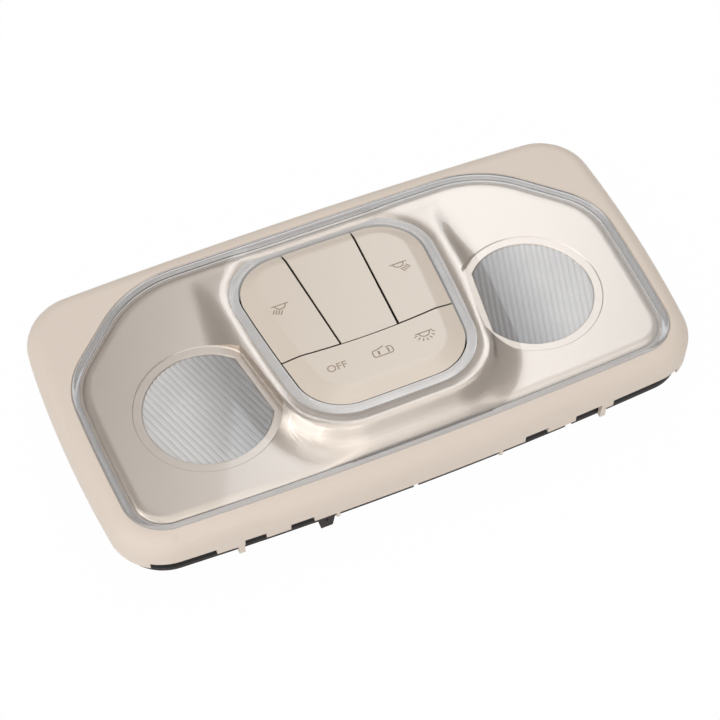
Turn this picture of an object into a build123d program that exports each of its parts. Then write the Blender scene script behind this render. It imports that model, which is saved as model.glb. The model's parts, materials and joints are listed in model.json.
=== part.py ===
from build123d import *
import math
import os

# Levels above the back of the housing, on which the light rests
floor_t = 2.0
seat_z = 15.5
skirt_z = 21.0
face_z = 34.0
cover_top = 34.7

# Bezel: four bowed sides, seen from the face
bezel_front = (106.7, -56.2)
bezel_rear = (110.5, 57.3)
bezel_front_bow = 3.8
bezel_rear_bow = 2.7
bezel_side_bow = 3.5
bezel_corner_r = 20.0
bezel_edge_r = 7.0
bezel_wall = 2.0

# Lower edge of the bezel's skirt: notches as spans in x, tabs as (x, width, drop)
front_notches = ((-100, -78), (-68.2, -60.6), (-52, -43.5), (35.5, 44.5), (55.5, 66), (70.7, 98))
rear_notch_xs = (-60, 0, 60)
rear_notch_half = 6.0
notch_h = 2.8
skirt_front_y = (-70, -50)
skirt_rear_y = (50, 70)
front_tab_sizes = ((-69.4, 2.2, 5.2), (67.2, 2.2, 5.2), (-34.8, 1.2, 3.2), (26.5, 1.2, 3.2))
tab_root = 3.5
tab_inset = 0.4

# Clear cover: bowed front and sides, rear corners cut off at 45 degrees
cover_front = (101.0, -49.9)
cover_side = (104.2, 18.5)
cover_rear = (70.7, 52.0)
cover_front_bow = 2.8
cover_side_bow = 0.85
cover_radii = (15.0, 28.0, 43.0)
cover_t = 2.3
cover_rim_w = 2.6
cover_rim_h = 5.3
cover_edge_r = 1.2
cover_gap = 0.25
ledge_z = 29.3
ledge_t = 1.8
ledge_w = 5.0
well_wall = 1.6

# Trim panel under the cover
panel_gap = 0.2
panel_t = 1.6
panel_inset = 2.9
panel_rim_w = 1.6
panel_opening = 3.4
panel_edge_r = 1.0

# Pod round the keys: a concave flank cut by a plane that leans to the rear
flank_r = 17.0
flank_reach = 14.6
foot_corners = ((46.0, -54.3, 33.0), (53.8, 9.2, 60.0), (46.5, 57.2, 17.0))
lean = 0.085
lean_start_y = 43.2
lean_deg = math.degrees(math.atan(lean))

# Key field, in the leaning plane, centred on the keys
keys_y = 5.7
keys_depth = 2.6
lip_drop = 2.2
collar_out = 2.6
collar_end = -4.5
collar_top = 0.3
field_front = (29.4, -37.7)
field_rear = (36.6, 37.3)
field_bows = (0.4, 0.6, 1.1)
field_r = 18.0
crest_front = (35.6, -44.7)
crest_rear = (41.4, 42.5)
crest_bows = (0.6, 0.6, 1.4)
crest_radii = (24.0, 22.0)
crest_rise = 1.0
crest_flare = 2.2
crown_h = 1.6
crown_side = 6.5
crown_front = 7.0
crown_rear = 4.5
crown_edge_r = 9.0
key_clear = 0.35
key_skirt = 5.0
key_wall = 1.8
key_skin = 1.2
slot_w = 0.7
split_v = -12.5
split_bow = 2.94
split_half = 40.0
column_front = 11.0
column_rear = 14.1
column_rear_v = 42.0
blank_dip = 0.5
blank_level_v = 24.0
post_r = 2.5
post_vs = (2, 26)

# Key mechanism, heights measured from the key field along its normal
plate_top = -8.5
plate_t = 2.0
wall_out = 2.2
wall_in = 0.8
wall_top = -4.9
board_top = -25.2
board_t = 1.6
board_size = (60.0, 56.0)
stem_at = (24.0, 13.0)
stem_size = (6.0, 4.0)
stem_end = -12.0
plunger_size = (4.0, 3.0)
plunger_end = -18.0
switch_size = (11.0, 11.0)
switch_top = -16.2
slide_clear = 0.4
pivot_n = -4.0
pivot_v = -25.0
pin_r = 1.0
pin_clear = 0.05
pin_len = 16.0
lug_len = 12.0
lug_half_w = 3.5
lug_low = -7.0
ear_gap = 0.4
ear_t = 1.6
ear_half_w = 3.0
ear_top = -2.4
arm_half_w = 3.2
arm_half_v = 2.0
arm_end = -18.0
fork_half_w = 1.8
knob_half = 1.2
knob_top = -15.5
slider_half = (3.0, 2.1)
slider_span = (-23.8, -22.0)
mode_switch_half = (9.0, 4.5)
mode_switch_top = -20.2
mode_room_half = (4.4, 2.5)
mode_room_span = (-24.2, -21.4)
mode_slit_half = (2.6, 1.6)
standoff_at = (22.0, 24.0)
standoff_r = 2.5
leg_at = (32.2, 20.0)
leg_size = (3.0, 6.0, 30.0)
board_screw_r = 1.0
board_screw_len = 7.0
board_head_r = 2.3
board_head_h = 1.6

# Lamps
lamp_at = (62.0, -9.7)
window_r = 22.6
collar_r = 25.8
collar_drop = 0.35
chord_x = 44.76
chord_slope = 0.165
collar_chord = 3.0
collar_wall = 1.2
flute_pitch = 2.1
flute_h = 0.45
flute_turn = 19.0
lens_r = 24.4
lens_chord = 1.6
lens_z = 27.6
lens_t = 2.3
bowl_top_r = 24.2
bowl_floor_r = 18.0
bowl_z = 8.0
bowl_wall = 1.4
bulb_z = 17.0
bulb_r = 5.2
bulb_len = 31.0
cap_r = 4.0
cap_len = 5.0
tip_r = 1.4

# Rear housing, insets measured from the bezel's outline
rim_inset = 2.4
rim_wall = 1.6
rim_top = 25.0
flange_t = 1.8
tray_inset = 15.0
tray_wall = 1.8
tray_edge_r = 3.0
rim_slits = ((-6, -4.2), (53.2, 55.8))
rim_slit_y = (-70, -53.5)
bowl_post_r = 9.0
bowl_post_wall = 1.8
hook_at = (-38.3, -57.0)
hook_top_w = 6.5
hook_low_w = 4.3
hook_drop = 5.4
hook_t = 2.0
hook_hole_r = 0.5
screw_rear = (104.0, 30.0)
screw_front = (99.5, -30.0)
screw_pad_r = 5.0
screw_pad_top = 20.0
screw_boss_r = 3.2
screw_head_r = 2.9
screw_head_h = 2.0
screw_head_chamfer = 0.6
screw_recess = 2.6
screw_recess_clear = 0.4
screw_r = 1.5
screw_len = 7.0
screw_clear = 0.3
pilot_depth = 8.0
cross_size = (3.6, 0.8, 1.6)
clip_x = 60.0
clip_w = 12.0
clip_t = 0.6
clip_bends = ((0, 4.5), (0, 8), (3.6, 11), (0.8, 15))
clip_seats = (-44.4, 44.9)
clip_pad_t = 2.0
clip_pad_low = 4.0
clip_side = 1.0
clip_room = 6.0
connector_v = 15.0
connector_size = (24.0, 11.0)
connector_h = 6.8
connector_wall = 1.3
connector_roof = 1.5
connector_corner_r = 1.0
connector_clear = 1.0
polarity_half = 2.0
pin_count = 6
pin_pitch = 3.0
pin_w = 0.8
pin_offset = 2.4
pin_set_back = 1.2


def mirror_pair(x):
    return (-x, x)


def round_corners(face, corner, radius):
    """Rounds the corner at (x, y) and its mirror image."""
    x, y = corner
    found = [v for v in face.vertices() if abs(abs(v.X) - x) < 1e-3 and abs(v.Y - y) < 1e-3]
    return fillet(found, radius)


def bowed_loop(front, rear, bows, radii):
    """A four-sided loop with bowed sides and rounded corners."""
    (fx, fy), (rx, ry) = front, rear
    front_bow, rear_bow, side_bow = bows
    mid_x = (fx + rx) / 2 + side_bow
    mid_y = (fy + ry) / 2
    sides = [
        ThreePointArc((-fx, fy), (0, fy - front_bow), (fx, fy)),
        ThreePointArc((fx, fy), (mid_x, mid_y), (rx, ry)),
        ThreePointArc((rx, ry), (0, ry + rear_bow), (-rx, ry)),
        ThreePointArc((-rx, ry), (-mid_x, mid_y), (-fx, fy)),
    ]
    face = round_corners(make_face(sides), front, radii[0])
    return round_corners(face, rear, radii[1])


def grow(face, amount):
    """The outline moved outwards, or inwards when negative, kept as true lines and arcs."""
    sides = []
    for edge in offset(face, amount).wire().edges():
        start, middle, end = edge @ 0, edge @ 0.5, edge @ 1
        straight = (middle - (start + end) / 2).length < 1e-6
        sides.append(Line(start, end) if straight else ThreePointArc(start, middle, end))
    return make_face(sides)


def bezel_outline():
    bows = (bezel_front_bow, bezel_rear_bow, bezel_side_bow)
    return bowed_loop(bezel_front, bezel_rear, bows, (bezel_corner_r, bezel_corner_r))


def cover_outline():
    (fx, fy), (sx, sy), (rx, ry) = cover_front, cover_side, cover_rear
    mid_x = (fx + sx) / 2 + cover_side_bow
    mid_y = (fy + sy) / 2
    sides = [
        ThreePointArc((-fx, fy), (0, fy - cover_front_bow), (fx, fy)),
        ThreePointArc((fx, fy), (mid_x, mid_y), (sx, sy)),
        Line((sx, sy), (rx, ry)),
        Line((rx, ry), (-rx, ry)),
        Line((-rx, ry), (-sx, sy)),
        ThreePointArc((-sx, sy), (-mid_x, mid_y), (-fx, fy)),
    ]
    face = make_face(sides)
    for corner, radius in zip((cover_front, cover_side, cover_rear), cover_radii):
        face = round_corners(face, corner, radius)
    return face


def key_field():
    return bowed_loop(field_front, field_rear, field_bows, (field_r, field_r))


def prism(face, low, high):
    return extrude(Pos(0, 0, low) * face, amount=high - low)


def frame_ring(outer, inner, low, high):
    return prism(outer, low, high) - prism(inner, low - 1, high + 1)


def block(x, y, z):
    """A box between pairs of limits."""
    sizes = [high - low for low, high in (x, y, z)]
    middle = [(high + low) / 2 for low, high in (x, y, z)]
    return Pos(*middle) * Box(*sizes)


def key_frame():
    """Places what is drawn flat on the leaning plane of the keys."""
    height = cover_top + lean * (lean_start_y - keys_y)
    return Pos(0, keys_y, height) * Rot(-lean_deg, 0, 0) * Pos(0, 0, -keys_depth)


def pod_foot():
    half = [(x, y) for x, y, radius in foot_corners]
    face = make_face(Polyline(*half, *[(-x, y) for x, y in reversed(half)], close=True))
    for x, y, radius in foot_corners:
        face = round_corners(face, (x, y), radius)
    return face


def pod():
    """The raised body round the keys, its concave flank tangent to the wings."""
    foot = pod_foot()
    path = foot.wire()
    start = path.position_at(0)
    along = path.tangent_at(0)
    inward = Vector(0, 0, 1).cross(along)

    def climb(d):
        return flank_r - math.sqrt(flank_r**2 - d**2)

    middle = 0.6 * flank_reach
    top = climb(flank_reach)
    root = -2.0
    outline = [
        ThreePointArc((0, 0), (middle, climb(middle)), (flank_reach, top)),
        Line((flank_reach, top), (flank_reach + 1, top)),
        Line((flank_reach + 1, top), (flank_reach + 1, root)),
        Line((flank_reach + 1, root), (0, root)),
        Line((0, root), (0, 0)),
    ]
    section = Plane(origin=start, x_dir=inward, z_dir=along) * make_face(outline)
    core = prism(grow(foot, -flank_reach - 0.3), root, top)
    return sweep(section, path=path) + core


def face_form():
    """The cover's outer surface as a thick block: wings, pod and the funnel down to the keys."""
    above = Pos(0, lean_start_y, 0) * Rot(-lean_deg, 0, 0) * Pos(0, 0, 20) * Box(300, 300, 40)
    body = Pos(0, 0, -5) * Box(240, 130, 10) + (pod() - above)
    crest = bowed_loop(crest_front, crest_rear, crest_bows, crest_radii)
    lip = Pos(0, 0, -lip_drop) * grow(key_field(), key_clear)
    wide = Pos(0, 0, crest_rise) * grow(crest, crest_flare)
    funnel = loft([crest, lip], ruled=True) + loft([wide, crest], ruled=True)
    funnel = key_frame() * Pos(0, 0, keys_depth) * (funnel + extrude(wide, amount=6))
    return Pos(0, 0, cover_top) * body - funnel


def key_opening(clear):
    return key_frame() * prism(grow(key_field(), clear), -20, 20)


def make_clear_cover(form):
    outline = cover_outline()
    shell = form - Pos(0, 0, -cover_t) * form
    shell = shell & prism(outline, 0, 60)
    shell = shell - key_opening(key_clear)
    rim = frame_ring(outline, grow(outline, -cover_rim_w), cover_top - cover_rim_h, cover_top - 1)
    field = key_field()
    collar = frame_ring(grow(field, collar_out), grow(field, key_clear), collar_end, collar_top)
    cover = shell + rim + key_frame() * collar
    return fillet(upper_edges(cover, outline, cover_top), cover_edge_r)


def upper_edges(solid, outline, level):
    """The solid's uppermost edges along an outline."""
    wire = outline.wire()
    found = []
    for edge in solid.edges():
        spots = [edge @ t for t in (0, 0.5, 1)]
        high = all(spot.Z > level - 0.01 for spot in spots)
        if high and all(wire.distance_to(Vertex(spot.X, spot.Y, 0)) < 1e-3 for spot in spots):
            found.append(edge)
    return found


def make_trim_panel(form):
    drop = cover_t + panel_gap
    outline = grow(cover_outline(), -panel_inset)
    panel = Pos(0, 0, -drop) * form - Pos(0, 0, -drop - panel_t) * form
    panel = panel & prism(outline, 0, 60)
    panel = panel - key_opening(panel_opening)
    top = cover_top - drop
    rim = frame_ring(outline, grow(outline, -panel_rim_w), ledge_z, top - 0.5)
    panel = panel + (rim & Pos(0, 0, -drop) * form)
    panel = fillet(upper_edges(panel, outline, top), panel_edge_r)
    for side in (-1, 1):
        block_shape = lamp_shape(side, collar_r + collar_wall, collar_chord + collar_wall)
        surround = prism(block_shape, top - panel_t, top + 10)
        panel = panel + (surround & Pos(0, 0, -drop) * form) - lamp_window(side, top)
    return panel


def lamp_shape(side, radius, chord_shift):
    """A disc cut off by a chord on the side of the keys."""
    x, y = lamp_at
    disc = Pos(x, y) * Circle(radius)
    reach = 60.0
    low = chord_x - chord_slope * reach - chord_shift
    high = chord_x + chord_slope * reach - chord_shift
    keep = make_face(Polyline((low, -reach), (150, -reach), (150, reach), (high, reach), close=True))
    shape = disc & keep
    if side < 0:
        shape = mirror(shape, about=Plane.YZ)
    return shape


def lamp_window(side, top):
    """The window, and the shallow step round it that runs as a wall into the flank."""
    step = prism(lamp_shape(side, collar_r, collar_chord), top - collar_drop, top + 12)
    return step + prism(lamp_shape(side, window_r, 0), 20, top + 1)


def make_map_lens(side):
    count = int(2 * lens_r / flute_pitch) + 2
    start = -count * flute_pitch / 2
    high = lens_t
    arcs = []
    for i in range(count):
        left = start + i * flute_pitch
        crown = (left + flute_pitch / 2, high + flute_h)
        arcs.append(ThreePointArc((left, high), crown, (left + flute_pitch, high)))
    sides = Polyline((start, high), (start, 0), (-start, 0), (-start, high))
    profile = Plane.XZ * make_face([*arcs, *sides.edges()])
    sheet = extrude(profile, amount=lens_r + 2, both=True)
    sheet = Pos(side * lamp_at[0], lamp_at[1], lens_z) * Rot(0, 0, -side * flute_turn) * sheet
    return sheet & prism(lamp_shape(side, lens_r, lens_chord), lens_z, lens_z + 5)


def crowned_field():
    """All four keys as one crowned block, before they are split."""
    rim = grow(key_field(), -key_clear)
    (fx, fy), (rx, ry) = field_front, field_rear
    flat = bowed_loop(
        (fx - crown_side, fy + crown_front),
        (rx - crown_side, ry - crown_rear),
        field_bows,
        (field_r - crown_side, field_r - crown_side),
    )
    cap = loft([rim, Pos(0, 0, crown_h) * flat], ruled=True)
    edges = cap.faces().sort_by(Axis.Z)[-1].edges()
    cap = fillet(edges, crown_edge_r)
    return cap + prism(rim, -key_skirt, 0)


def key_slots():
    """Narrow gaps that part the keys: one bowed across, two along."""
    def across(shift):
        high = split_v + split_bow + shift
        return ThreePointArc((-split_half, high), (0, split_v + shift), (split_half, high))

    low, high = across(-slot_w / 2), across(slot_w / 2)
    ends = [Line(low @ 0, high @ 0), Line(low @ 1, high @ 1)]
    slots = prism(make_face([low, high, *ends]), -20, 20)
    for side in (-1, 1):
        near, far = side * column_front, side * column_rear
        half = slot_w / 2
        strip = Polyline(
            (near - half, split_v), (near + half, split_v),
            (far + half, column_rear_v), (far - half, column_rear_v), close=True,
        )
        slots = slots + prism(make_face(strip), -20, 20)
    return slots


def hollow_key(solid):
    """Opens a key from below, leaving its skin and skirt."""
    foot = solid.faces().sort_by(Axis.Z)[0]
    room = extrude(grow(Sketch() + foot, -key_wall), amount=key_skirt - key_skin, dir=(0, 0, 1))
    return solid - room


def make_keys():
    """The four keys, flat in the key frame: left, blank, right and rocker."""
    parts = (crowned_field() - key_slots()).solids()
    rocker = min(parts, key=lambda s: s.center().Y)
    rest = sorted((s for s in parts if s is not rocker), key=lambda s: s.center().X)
    left, blank, right = [hollow_key(s) for s in rest]
    return left, blank, right, hollow_key(rocker)


def map_stem(side):
    x, v = stem_at
    stem = Box(*stem_size, -key_skin - stem_end + 0.5)
    return Pos(side * x, v, (stem_end - key_skin + 0.5) / 2) * stem


def blank_posts():
    top = -key_skin + 0.5
    middle, length = (plate_top + top) / 2, top - plate_top
    front, rear = [Pos(0, v, middle) * Cylinder(post_r, length) for v in post_vs]
    return front + rear


def make_centre_blank(key):
    """Fixed key between the map keys, its front edge set a little low."""
    dipped = Pos(0, blank_level_v, 0) * Rot(blank_dip, 0, 0) * Pos(0, -blank_level_v, 0) * key
    return dipped + blank_posts()


def rocker_lug():
    """Pivot lug with its bore, and the forked arm that drives the slider."""
    half = lug_len / 2
    lug = block(mirror_pair(lug_half_w), (pivot_v - half, pivot_v + half), (lug_low, -key_skin + 0.5))
    arm = pivot_block(arm_half_w, arm_half_v, (arm_end, lug_low + 1))
    fork = pivot_block(fork_half_w, arm_half_v + 1, (arm_end - 1, knob_top + 0.9))
    return lug + arm - fork, pivot_bar(pin_r + pin_clear, 30)


def pivot_block(half_x, half_v, heights):
    """A box centred on the rocker's pivot."""
    return block(mirror_pair(half_x), (pivot_v - half_v, pivot_v + half_v), heights)


def pivot_bar(radius, length):
    return Pos(0, pivot_v, pivot_n) * Rot(90, 0, 0) * Cylinder(radius, length)


def make_switch_carrier():
    """Plate under the keys with a wall round them, guides, pivot ears and legs."""
    field = key_field()
    base = plate_top - plate_t
    outer = grow(field, wall_out)
    body = prism(outer, base, plate_top) + frame_ring(outer, grow(field, wall_in), base, wall_top)
    for end in (-1, 1):
        near = pivot_v + end * (lug_len / 2 + ear_gap)
        far = near + end * ear_t
        body = body + block(mirror_pair(ear_half_w), sorted((near, far)), (plate_top - 0.5, ear_top))
    body = body - pivot_bar(pin_r, pin_len)
    body = body - pivot_block(arm_half_w + 1, arm_half_v + 0.6, (base - 1, plate_top + 1))
    for side in (-1, 1):
        x, v = side * stem_at[0], stem_at[1]
        reach_x = stem_size[0] / 2 + slide_clear
        reach_v = stem_size[1] / 2 + slide_clear
        body = body - block((x - reach_x, x + reach_x), (v - reach_v, v + reach_v), (base - 1, plate_top + 1))
        for v in mirror_pair(leg_at[1]):
            body = body + Pos(side * leg_at[0], v, base - leg_size[2] / 2) * Box(*leg_size)
    for x, v in standoffs():
        body = body + Pos(x, v, (base + board_top) / 2) * Cylinder(standoff_r, base - board_top)
        body = body - Pos(x, v, board_top + 4) * Cylinder(board_screw_r + pin_clear, 8)
    above_floor = Pos(0, 0, floor_t + 50) * Box(300, 300, 100)
    return (key_frame() * body) & above_floor


def standoffs():
    """Where the circuit board is screwed to the carrier."""
    return [(x, v) for x in mirror_pair(standoff_at[0]) for v in mirror_pair(standoff_at[1])]


def make_circuit_board():
    board = Pos(0, 0, board_top - board_t / 2) * Box(*board_size, board_t)
    for x, v in standoffs():
        board = board - Pos(x, v, board_top) * Cylinder(board_screw_r + 0.4, 5)
    return board


def make_board_screws():
    head_z = board_top - board_t
    screws = []
    for x, v in standoffs():
        shank = Pos(x, v, head_z + board_screw_len / 2) * Cylinder(board_screw_r, board_screw_len)
        head = Pos(x, v, head_z - board_head_h / 2) * Cylinder(board_head_r, board_head_h)
        slot = Pos(x, v, head_z - board_head_h) * Box(3.4, 0.6, 1.0)
        screws.append(key_frame() * (shank + head - slot))
    return Compound(children=screws)


def make_map_switch(side):
    x, v = side * stem_at[0], stem_at[1]
    body = Pos(x, v, (board_top + switch_top) / 2) * Box(*switch_size, switch_top - board_top)
    body = chamfer(body.faces().sort_by(Axis.Z)[-1].edges(), 0.8)
    well = [size + 2 * slide_clear for size in plunger_size]
    depth = 6.0
    return body - Pos(x, v, switch_top - depth / 2 + 0.5) * Box(*well, depth + 1)


def make_map_plunger(side):
    x, v = side * stem_at[0], stem_at[1]
    return Pos(x, v, (stem_end + plunger_end) / 2) * Box(*plunger_size, stem_end - plunger_end)


def make_mode_switch():
    body = pivot_block(*mode_switch_half, (board_top, mode_switch_top))
    room = pivot_block(*mode_room_half, mode_room_span)
    slit = pivot_block(*mode_slit_half, (mode_room_span[1] - 0.6, mode_switch_top + 1.2))
    return body - room - slit


def make_mode_slider():
    knob = pivot_block(knob_half, knob_half, (slider_span[1] - 0.5, knob_top))
    return pivot_block(*slider_half, slider_span) + knob


def make_lamp_bowl(side):
    """Reflector bowl, cut off beside the keys like its lens."""
    x, y = lamp_at

    def cup(top_r, low_r, low, chord_shift):
        cone = Pos(side * x, y, (lens_z + low) / 2) * Cone(low_r, top_r, lens_z - low)
        return cone & prism(lamp_shape(side, 40, chord_shift), low, lens_z)

    outer = cup(bowl_top_r, bowl_floor_r, bowl_z, lens_chord)
    inner = cup(bowl_top_r - bowl_wall, bowl_floor_r - bowl_wall, bowl_z + bowl_wall, lens_chord - bowl_wall)
    return outer - inner


def make_bulb(side):
    x, y = lamp_at
    glass_half = bulb_len / 2 - cap_len - 1.5
    half = [
        (0, -glass_half), (bulb_r, -glass_half + 1.5), (bulb_r, glass_half - 1.5), (0, glass_half),
    ]
    glass = revolve(Plane.XY * make_face(Polyline(*half, close=True)), Axis.Y)
    bulb = glass
    for end in (-1, 1):
        near, far = glass_half - 1.0, bulb_len / 2
        cap = Pos(0, end * (near + cap_len / 2), 0) * Rot(90, 0, 0) * Cylinder(cap_r, cap_len)
        tip = Pos(0, end * (far - 1.5), 0) * Rot(90, 0, 0) * Cylinder(tip_r, 3)
        bulb = bulb + cap + tip
    return Pos(side * x, y, bulb_z) * bulb


def make_bulb_contacts(side):
    """Two sprung brass uprights that hold the bulb by its tips."""
    x, y = lamp_at
    low = bowl_z + bowl_wall
    uprights = []
    for end in (-1, 1):
        at = y + end * (bulb_len / 2 - 1.0)
        near, far = at - 0.3, at + 0.3
        post = block((side * x - 3, side * x + 3), (near, far), (low, bulb_z + 3.5))
        foot = block((side * x - 3, side * x + 3), sorted((at - end * 5, at)), (low, low + 0.6))
        eye = Pos(side * x, at, bulb_z) * Rot(90, 0, 0) * Cylinder(tip_r, 4)
        uprights.append(post + foot - eye)
    return Compound(children=uprights)


def screw_points():
    return [(side * x, y) for x, y in (screw_rear, screw_front) for side in (-1, 1)]


def skirt_cuts():
    """Notches along the lower edge of the front and rear skirt."""
    heights = (skirt_z - 1, skirt_z + notch_h)
    rear = [(x - rear_notch_half, x + rear_notch_half) for x in rear_notch_xs]
    cuts = [block(span, skirt_front_y, heights) for span in front_notches]
    return cuts + [block(span, skirt_rear_y, heights) for span in rear]


def front_tabs(outline):
    """Latch tabs and thin ribs that hang below the front skirt."""
    skirt = frame_ring(grow(outline, -tab_inset), grow(outline, -bezel_wall), 0, skirt_z + tab_root + 0.5)
    return [
        skirt & block((x - w / 2, x + w / 2), skirt_front_y, (skirt_z - drop, skirt_z + tab_root))
        for x, w, drop in front_tab_sizes
    ]


def make_bezel():
    outline = bezel_outline()
    inside = grow(outline, -bezel_wall)
    body = prism(outline, skirt_z, face_z)
    body = fillet(body.faces().sort_by(Axis.Z)[-1].edges(), bezel_edge_r)
    room = prism(inside, skirt_z - 1, face_z - bezel_wall)
    room = fillet(room.faces().sort_by(Axis.Z)[-1].edges(), bezel_edge_r - bezel_wall)
    body = body - room
    well = grow(cover_outline(), cover_gap)
    well_out = grow(cover_outline(), cover_gap + well_wall)
    ledge = grow(cover_outline(), -ledge_w)
    body = body + frame_ring(well_out, well, ledge_z - ledge_t, face_z - 0.5)
    body = body - prism(well, ledge_z, face_z + 5)
    body = body + frame_ring(well_out, ledge, ledge_z - ledge_t, ledge_z)
    for cut in skirt_cuts():
        body = body - cut
    for tab in front_tabs(outline):
        body = body + tab
    for x, y in screw_points():
        top = face_z - bezel_wall if y > 0 else ledge_z - ledge_t
        boss = Cylinder(screw_boss_r, top + 0.5 - screw_pad_top)
        body = body + Pos(x, y, (screw_pad_top + top + 0.5) / 2) * boss
        pilot = Cylinder(screw_r + pin_clear, pilot_depth + 1)
        body = body - Pos(x, y, screw_pad_top + (pilot_depth - 1) / 2) * pilot
    return body


def make_rear_housing():
    outline = bezel_outline()
    rim = grow(outline, -rim_inset)
    tray = grow(outline, -tray_inset)
    hollow = grow(outline, -tray_inset - tray_wall)
    body = frame_ring(rim, grow(outline, -rim_inset - rim_wall), seat_z, rim_top)
    body = body + prism(rim, seat_z, seat_z + flange_t)
    cup = prism(tray, 0, seat_z + flange_t)
    cup = fillet(cup.faces().sort_by(Axis.Z)[0].edges(), tray_edge_r)
    body = body + cup - prism(hollow, floor_t, seat_z + flange_t + 1)
    for x, y in screw_points():
        body = body + Pos(x, y, (seat_z + screw_pad_top) / 2) * Cylinder(screw_pad_r, screw_pad_top - seat_z)
        body = body - Pos(x, y, seat_z) * Cylinder(screw_head_r + screw_recess_clear, 2 * screw_recess)
        body = body - Pos(x, y, seat_z) * Cylinder(screw_r + screw_clear, 20)
    for side in (-1, 1):
        x, y = side * lamp_at[0], lamp_at[1]
        post = Cylinder(bowl_post_r, bowl_z - floor_t) - Cylinder(bowl_post_r - bowl_post_wall, bowl_z)
        body = body + Pos(x, y, (bowl_z + floor_t) / 2) * post
        for seat in clip_seats:
            end = math.copysign(1, seat)
            reach = clip_w / 2 + clip_side
            across = (side * clip_x - reach, side * clip_x + reach)
            pad = sorted((seat, seat - end * clip_pad_t))
            room = sorted((seat, seat + end * clip_room))
            body = body + block(across, pad, (clip_pad_low, seat_z + flange_t))
            body = body - block(across, room, (seat_z - 1, seat_z + flange_t + 1))
    body = body + front_hook()
    for gap in rim_slits:
        body = body - block(gap, rim_slit_y, (seat_z - 1, rim_top + 1))
    return body - connector_cutout()


def front_hook():
    """Tapered hook under the rim, with a small hole."""
    middle, y = hook_at
    top, low = hook_top_w / 2, hook_low_w / 2
    shape = Polyline(
        (middle - top, seat_z + 1), (middle + top, seat_z + 1),
        (middle + low, seat_z - hook_drop), (middle - low, seat_z - hook_drop), close=True,
    )
    hook = extrude(Plane.XZ.offset(-y) * make_face(shape), amount=-hook_t)
    return hook - Pos(middle, y, seat_z - 1) * Rot(90, 0, 0) * Cylinder(hook_hole_r, 8)


def make_roof_clips():
    """Spring clips bent from strip, on the long walls of the tray."""
    clips = []
    back = [(y + clip_t, z) for y, z in reversed(clip_bends)]
    face = Plane.YZ * make_face(Polyline(*clip_bends, *back, close=True))
    bar = extrude(face, amount=clip_w / 2, both=True)
    for seat in clip_seats:
        bent = bar if seat > 0 else mirror(bar, about=Plane.XZ)
        for side in (-1, 1):
            clips.append(Pos(side * clip_x, seat, 0) * bent)
    return Compound(children=clips)


def make_housing_screws():
    screws = []
    head_low = seat_z + screw_recess - screw_head_h
    long, short, deep = cross_size
    for x, y in screw_points():
        head = Pos(x, y, head_low + screw_head_h / 2) * Cylinder(screw_head_r, screw_head_h)
        head = chamfer(head.faces().sort_by(Axis.Z)[0].edges(), screw_head_chamfer)
        shank = Pos(x, y, head_low + screw_head_h + screw_len / 2) * Cylinder(screw_r, screw_len)
        cross = Pos(x, y, head_low) * (Box(long, short, deep) + Box(short, long, deep))
        screws.append(head + shank - cross)
    return Compound(children=screws)


def connector_low():
    return board_top - board_t - connector_h


def make_connector_shell():
    w, d = connector_size
    top = board_top - board_t
    low = connector_low()
    shell = block((-w / 2, w / 2), (connector_v - d / 2, connector_v + d / 2), (low, top))
    shell = fillet(shell.edges().filter_by(Axis.Z), connector_corner_r)
    inner_w = w / 2 - connector_wall
    inner_d = d / 2 - connector_wall
    depth = (low - 1, top - connector_roof)
    room = block(mirror_pair(inner_w), (connector_v - inner_d, connector_v + inner_d), depth)
    key = block(mirror_pair(polarity_half), (connector_v - d / 2 - 1, connector_v - inner_d + 0.1), depth)
    return shell - room - key - pin_row()


def pin_row():
    """Square contact pins, one row towards the rear of the socket."""
    top = board_top - board_t
    half = pin_w / 2
    v = connector_v + pin_offset
    pins = []
    for i in range(pin_count):
        x = (i - (pin_count - 1) / 2) * pin_pitch
        heights = (connector_low() + pin_set_back, top)
        pins.append(block((x - half, x + half), (v - half, v + half), heights))
    return pins


def make_connector_pins():
    return Compound(children=[key_frame() * pin for pin in pin_row()])


def connector_cutout():
    """Hole in the floor that the connector shows through."""
    half_w, half_d = [size / 2 + connector_clear for size in connector_size]
    hole = block(mirror_pair(half_w), (connector_v - half_d, connector_v + half_d), (-60, -28))
    return (key_frame() * hole) & block((-40, 40), (-60, 60), (-1, floor_t + 1))


def build():
    place = key_frame()
    form = face_form()
    left, blank, right, rocker = make_keys()
    lug, bore = rocker_lug()
    nodes = {
        "bezel": make_bezel(),
        "clear_cover": make_clear_cover(form),
        "trim_panel": make_trim_panel(form),
        "map_button_left": place * (left + map_stem(-1)),
        "map_button_right": place * (right + map_stem(1)),
        "centre_blank": place * make_centre_blank(blank),
        "mode_rocker": place * (rocker + lug - bore),
        "rocker_pin": place * pivot_bar(pin_r, pin_len),
        "switch_carrier": make_switch_carrier(),
        "circuit_board": place * make_circuit_board(),
        "board_screws": make_board_screws(),
        "mode_switch": place * make_mode_switch(),
        "mode_slider": place * make_mode_slider(),
        "rear_housing": make_rear_housing(),
        "connector_shell": place * make_connector_shell(),
        "connector_pins": make_connector_pins(),
        "roof_clips": make_roof_clips(),
        "housing_screws": make_housing_screws(),
    }
    for side, word in ((-1, "left"), (1, "right")):
        nodes["map_lens_" + word] = make_map_lens(side)
        nodes["map_switch_" + word] = place * make_map_switch(side)
        nodes["map_plunger_" + word] = place * make_map_plunger(side)
        nodes["lamp_bowl_" + word] = make_lamp_bowl(side)
        nodes["bulb_" + word] = make_bulb(side)
        nodes["bulb_contacts_" + word] = make_bulb_contacts(side)
    return nodes


os.makedirs("parts", exist_ok=True)
for name, shape in build().items():
    export_step(shape, os.path.join("parts", name + ".step"))
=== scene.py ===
import json
import math

import bmesh
import bpy
from mathutils import Matrix, Vector
from mathutils.bvhtree import BVHTree


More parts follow.
